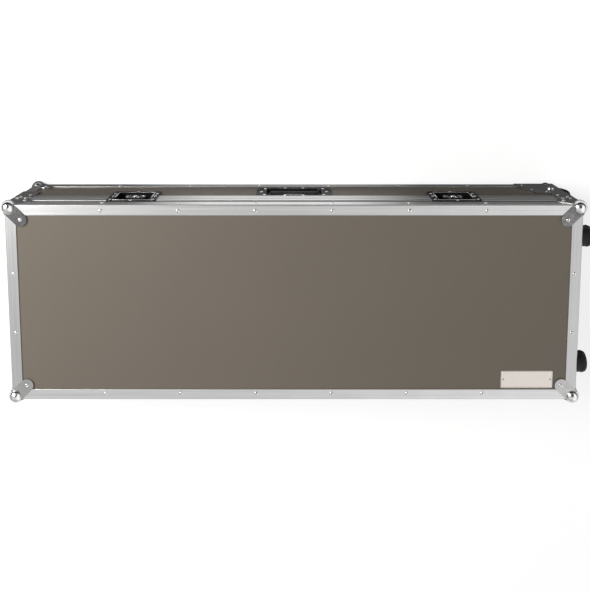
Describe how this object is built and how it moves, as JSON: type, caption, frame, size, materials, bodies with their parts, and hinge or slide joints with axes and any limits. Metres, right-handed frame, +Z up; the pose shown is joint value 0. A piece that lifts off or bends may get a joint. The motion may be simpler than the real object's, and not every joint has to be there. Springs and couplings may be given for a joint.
{
  "type": "guitar pedal case",
  "caption": "Long flat tour case for a pedalboard, with aluminium edges, ball corners, a hinged lid, turn latches, recessed handles, corner wheels and rubber feet.",
  "frame": {"origin": "centre of the bounding box at the level of the balls that the case lies on", "axes": "+X from the wheels to the end handle, +Y from the latches to the hinges, +Z up through the lid"},
  "size_m": [1.1924, 0.427, 0.217],
  "materials": {
    "panel": "matt taupe laminate on plywood",
    "extrusion": "satin anodised extrusion",
    "corner_metal": "bright zinc-plated steel",
    "rivet": "plated steel",
    "black_steel": "black powder coat",
    "grip_rubber": "ribbed black rubber",
    "foot_rubber": "moulded black rubber",
    "wheel_rubber": "moulded black tread",
    "foam": "charcoal closed-cell foam",
    "plate": "bare brushed aluminium"
  },
  "bodies": {
    "base": {"floor_panel": "panel", "base_latch_side_panel": "panel", "base_hinge_side_panel": "panel", "base_handle_end_panel": "panel", "base_wheel_end_panel": "panel", "base_long_edges": "extrusion", "base_end_edges": "extrusion", "base_corner_angles": "extrusion", "base_rim_latch_side": "extrusion", "base_rim_hinge_side": "extrusion", "base_end_rims": "extrusion", "base_ball_corners": "corner_metal", "base_parting_corners": "corner_metal", "wheel_bracket_latch_side": "corner_metal", "wheel_bracket_hinge_side": "corner_metal", "wheel_axles": "rivet", "base_floor_foam": "foam", "base_side_foams": "foam", "base_end_foams": "foam", "base_rivets": "rivet", "side_handle_dish": "black_steel", "end_handle_dish": "black_steel", "handle_pins": "rivet", "latch_dish_wheel_end": "black_steel", "latch_dish_handle_end": "black_steel", "hook_pins": "rivet", "hinge_base_leaves": "corner_metal", "hinge_pins": "rivet"},
    "lid": {"lid_panel": "panel", "lid_latch_side_wall": "panel", "lid_hinge_side_wall": "panel", "lid_end_walls": "panel", "lid_long_edges": "extrusion", "lid_end_edges": "extrusion", "lid_rim_latch_side": "extrusion", "lid_rim_hinge_side": "extrusion", "lid_end_rims": "extrusion", "lid_ball_corners": "corner_metal", "lid_parting_corners": "corner_metal", "lid_foam": "foam", "rubber_foot_latch_side": "foot_rubber", "rubber_foot_hinge_side": "foot_rubber", "foot_screws": "rivet", "nameplate": "plate", "nameplate_screws": "rivet", "lid_rivets": "rivet", "latch_catch_wheel_end": "black_steel", "latch_catch_handle_end": "black_steel", "hinge_lid_leaves": "corner_metal"},
    "side_handle": {"side_handle_bail": "black_steel", "side_handle_grip": "grip_rubber"},
    "end_handle": {"end_handle_bail": "black_steel", "end_handle_grip": "grip_rubber"},
    "latch_side_wheel": {"wheel_latch_side": "wheel_rubber"},
    "hinge_side_wheel": {"wheel_hinge_side": "wheel_rubber"},
    "wheel_end_turn": {"latch_turn_wheel_end": "black_steel"},
    "handle_end_turn": {"latch_turn_handle_end": "black_steel"},
    "wheel_end_hook": {"latch_hook_wheel_end": "black_steel"},
    "handle_end_hook": {"latch_hook_handle_end": "black_steel"}
  },
  "joints": [
    {"name": "lid_hinge", "type": "hinge", "parent": "base", "child": "lid", "pos_m": [0.00775, 0.209, 0.1525], "axis": [-1, 0, 0], "range_deg": [0, 100]},
    {"name": "side_handle_swing", "type": "hinge", "parent": "base", "child": "side_handle", "pos_m": [0.00775, -0.193, 0.10246], "axis": [-1, 0, 0], "range_deg": [0, 90], "stiffness_Nm_per_rad": 0.12, "springref_deg": -20.05},
    {"name": "end_handle_swing", "type": "hinge", "parent": "base", "child": "end_handle", "pos_m": [0.57575, 0, 0.10246], "axis": [0, -1, 0], "range_deg": [0, 90], "stiffness_Nm_per_rad": 0.12, "springref_deg": -20.05},
    {"name": "latch_side_wheel_spin", "type": "hinge", "parent": "base", "child": "latch_side_wheel", "pos_m": [-0.55425, -0.1885, 0.055], "axis": [0, 1, 0], "continuous": true},
    {"name": "hinge_side_wheel_spin", "type": "hinge", "parent": "base", "child": "hinge_side_wheel", "pos_m": [-0.55425, 0.1885, 0.055], "axis": [0, 1, 0], "continuous": true},
    {"name": "wheel_end_latch_turn", "type": "hinge", "parent": "base", "child": "wheel_end_turn", "pos_m": [-0.32625, -0.2, 0.1235], "axis": [0, 1, 0], "range_deg": [0, 180]},
    {"name": "wheel_end_hook_tilt", "type": "hinge", "parent": "base", "child": "wheel_end_hook", "pos_m": [-0.32625, -0.1955, 0.1425], "axis": [1, 0, 0], "range_deg": [0, 25]},
    {"name": "handle_end_latch_turn", "type": "hinge", "parent": "base", "child": "handle_end_turn", "pos_m": [0.34175, -0.2, 0.1235], "axis": [0, 1, 0], "range_deg": [0, 180]},
    {"name": "handle_end_hook_tilt", "type": "hinge", "parent": "base", "child": "handle_end_hook", "pos_m": [0.34175, -0.1955, 0.1425], "axis": [1, 0, 0], "range_deg": [0, 25]}
  ],
  "couplings": [
    {"joint": "wheel_end_hook_tilt", "follows": "wheel_end_latch_turn", "ratio": 0.1388},
    {"joint": "handle_end_hook_tilt", "follows": "handle_end_latch_turn", "ratio": 0.1388}
  ]
}
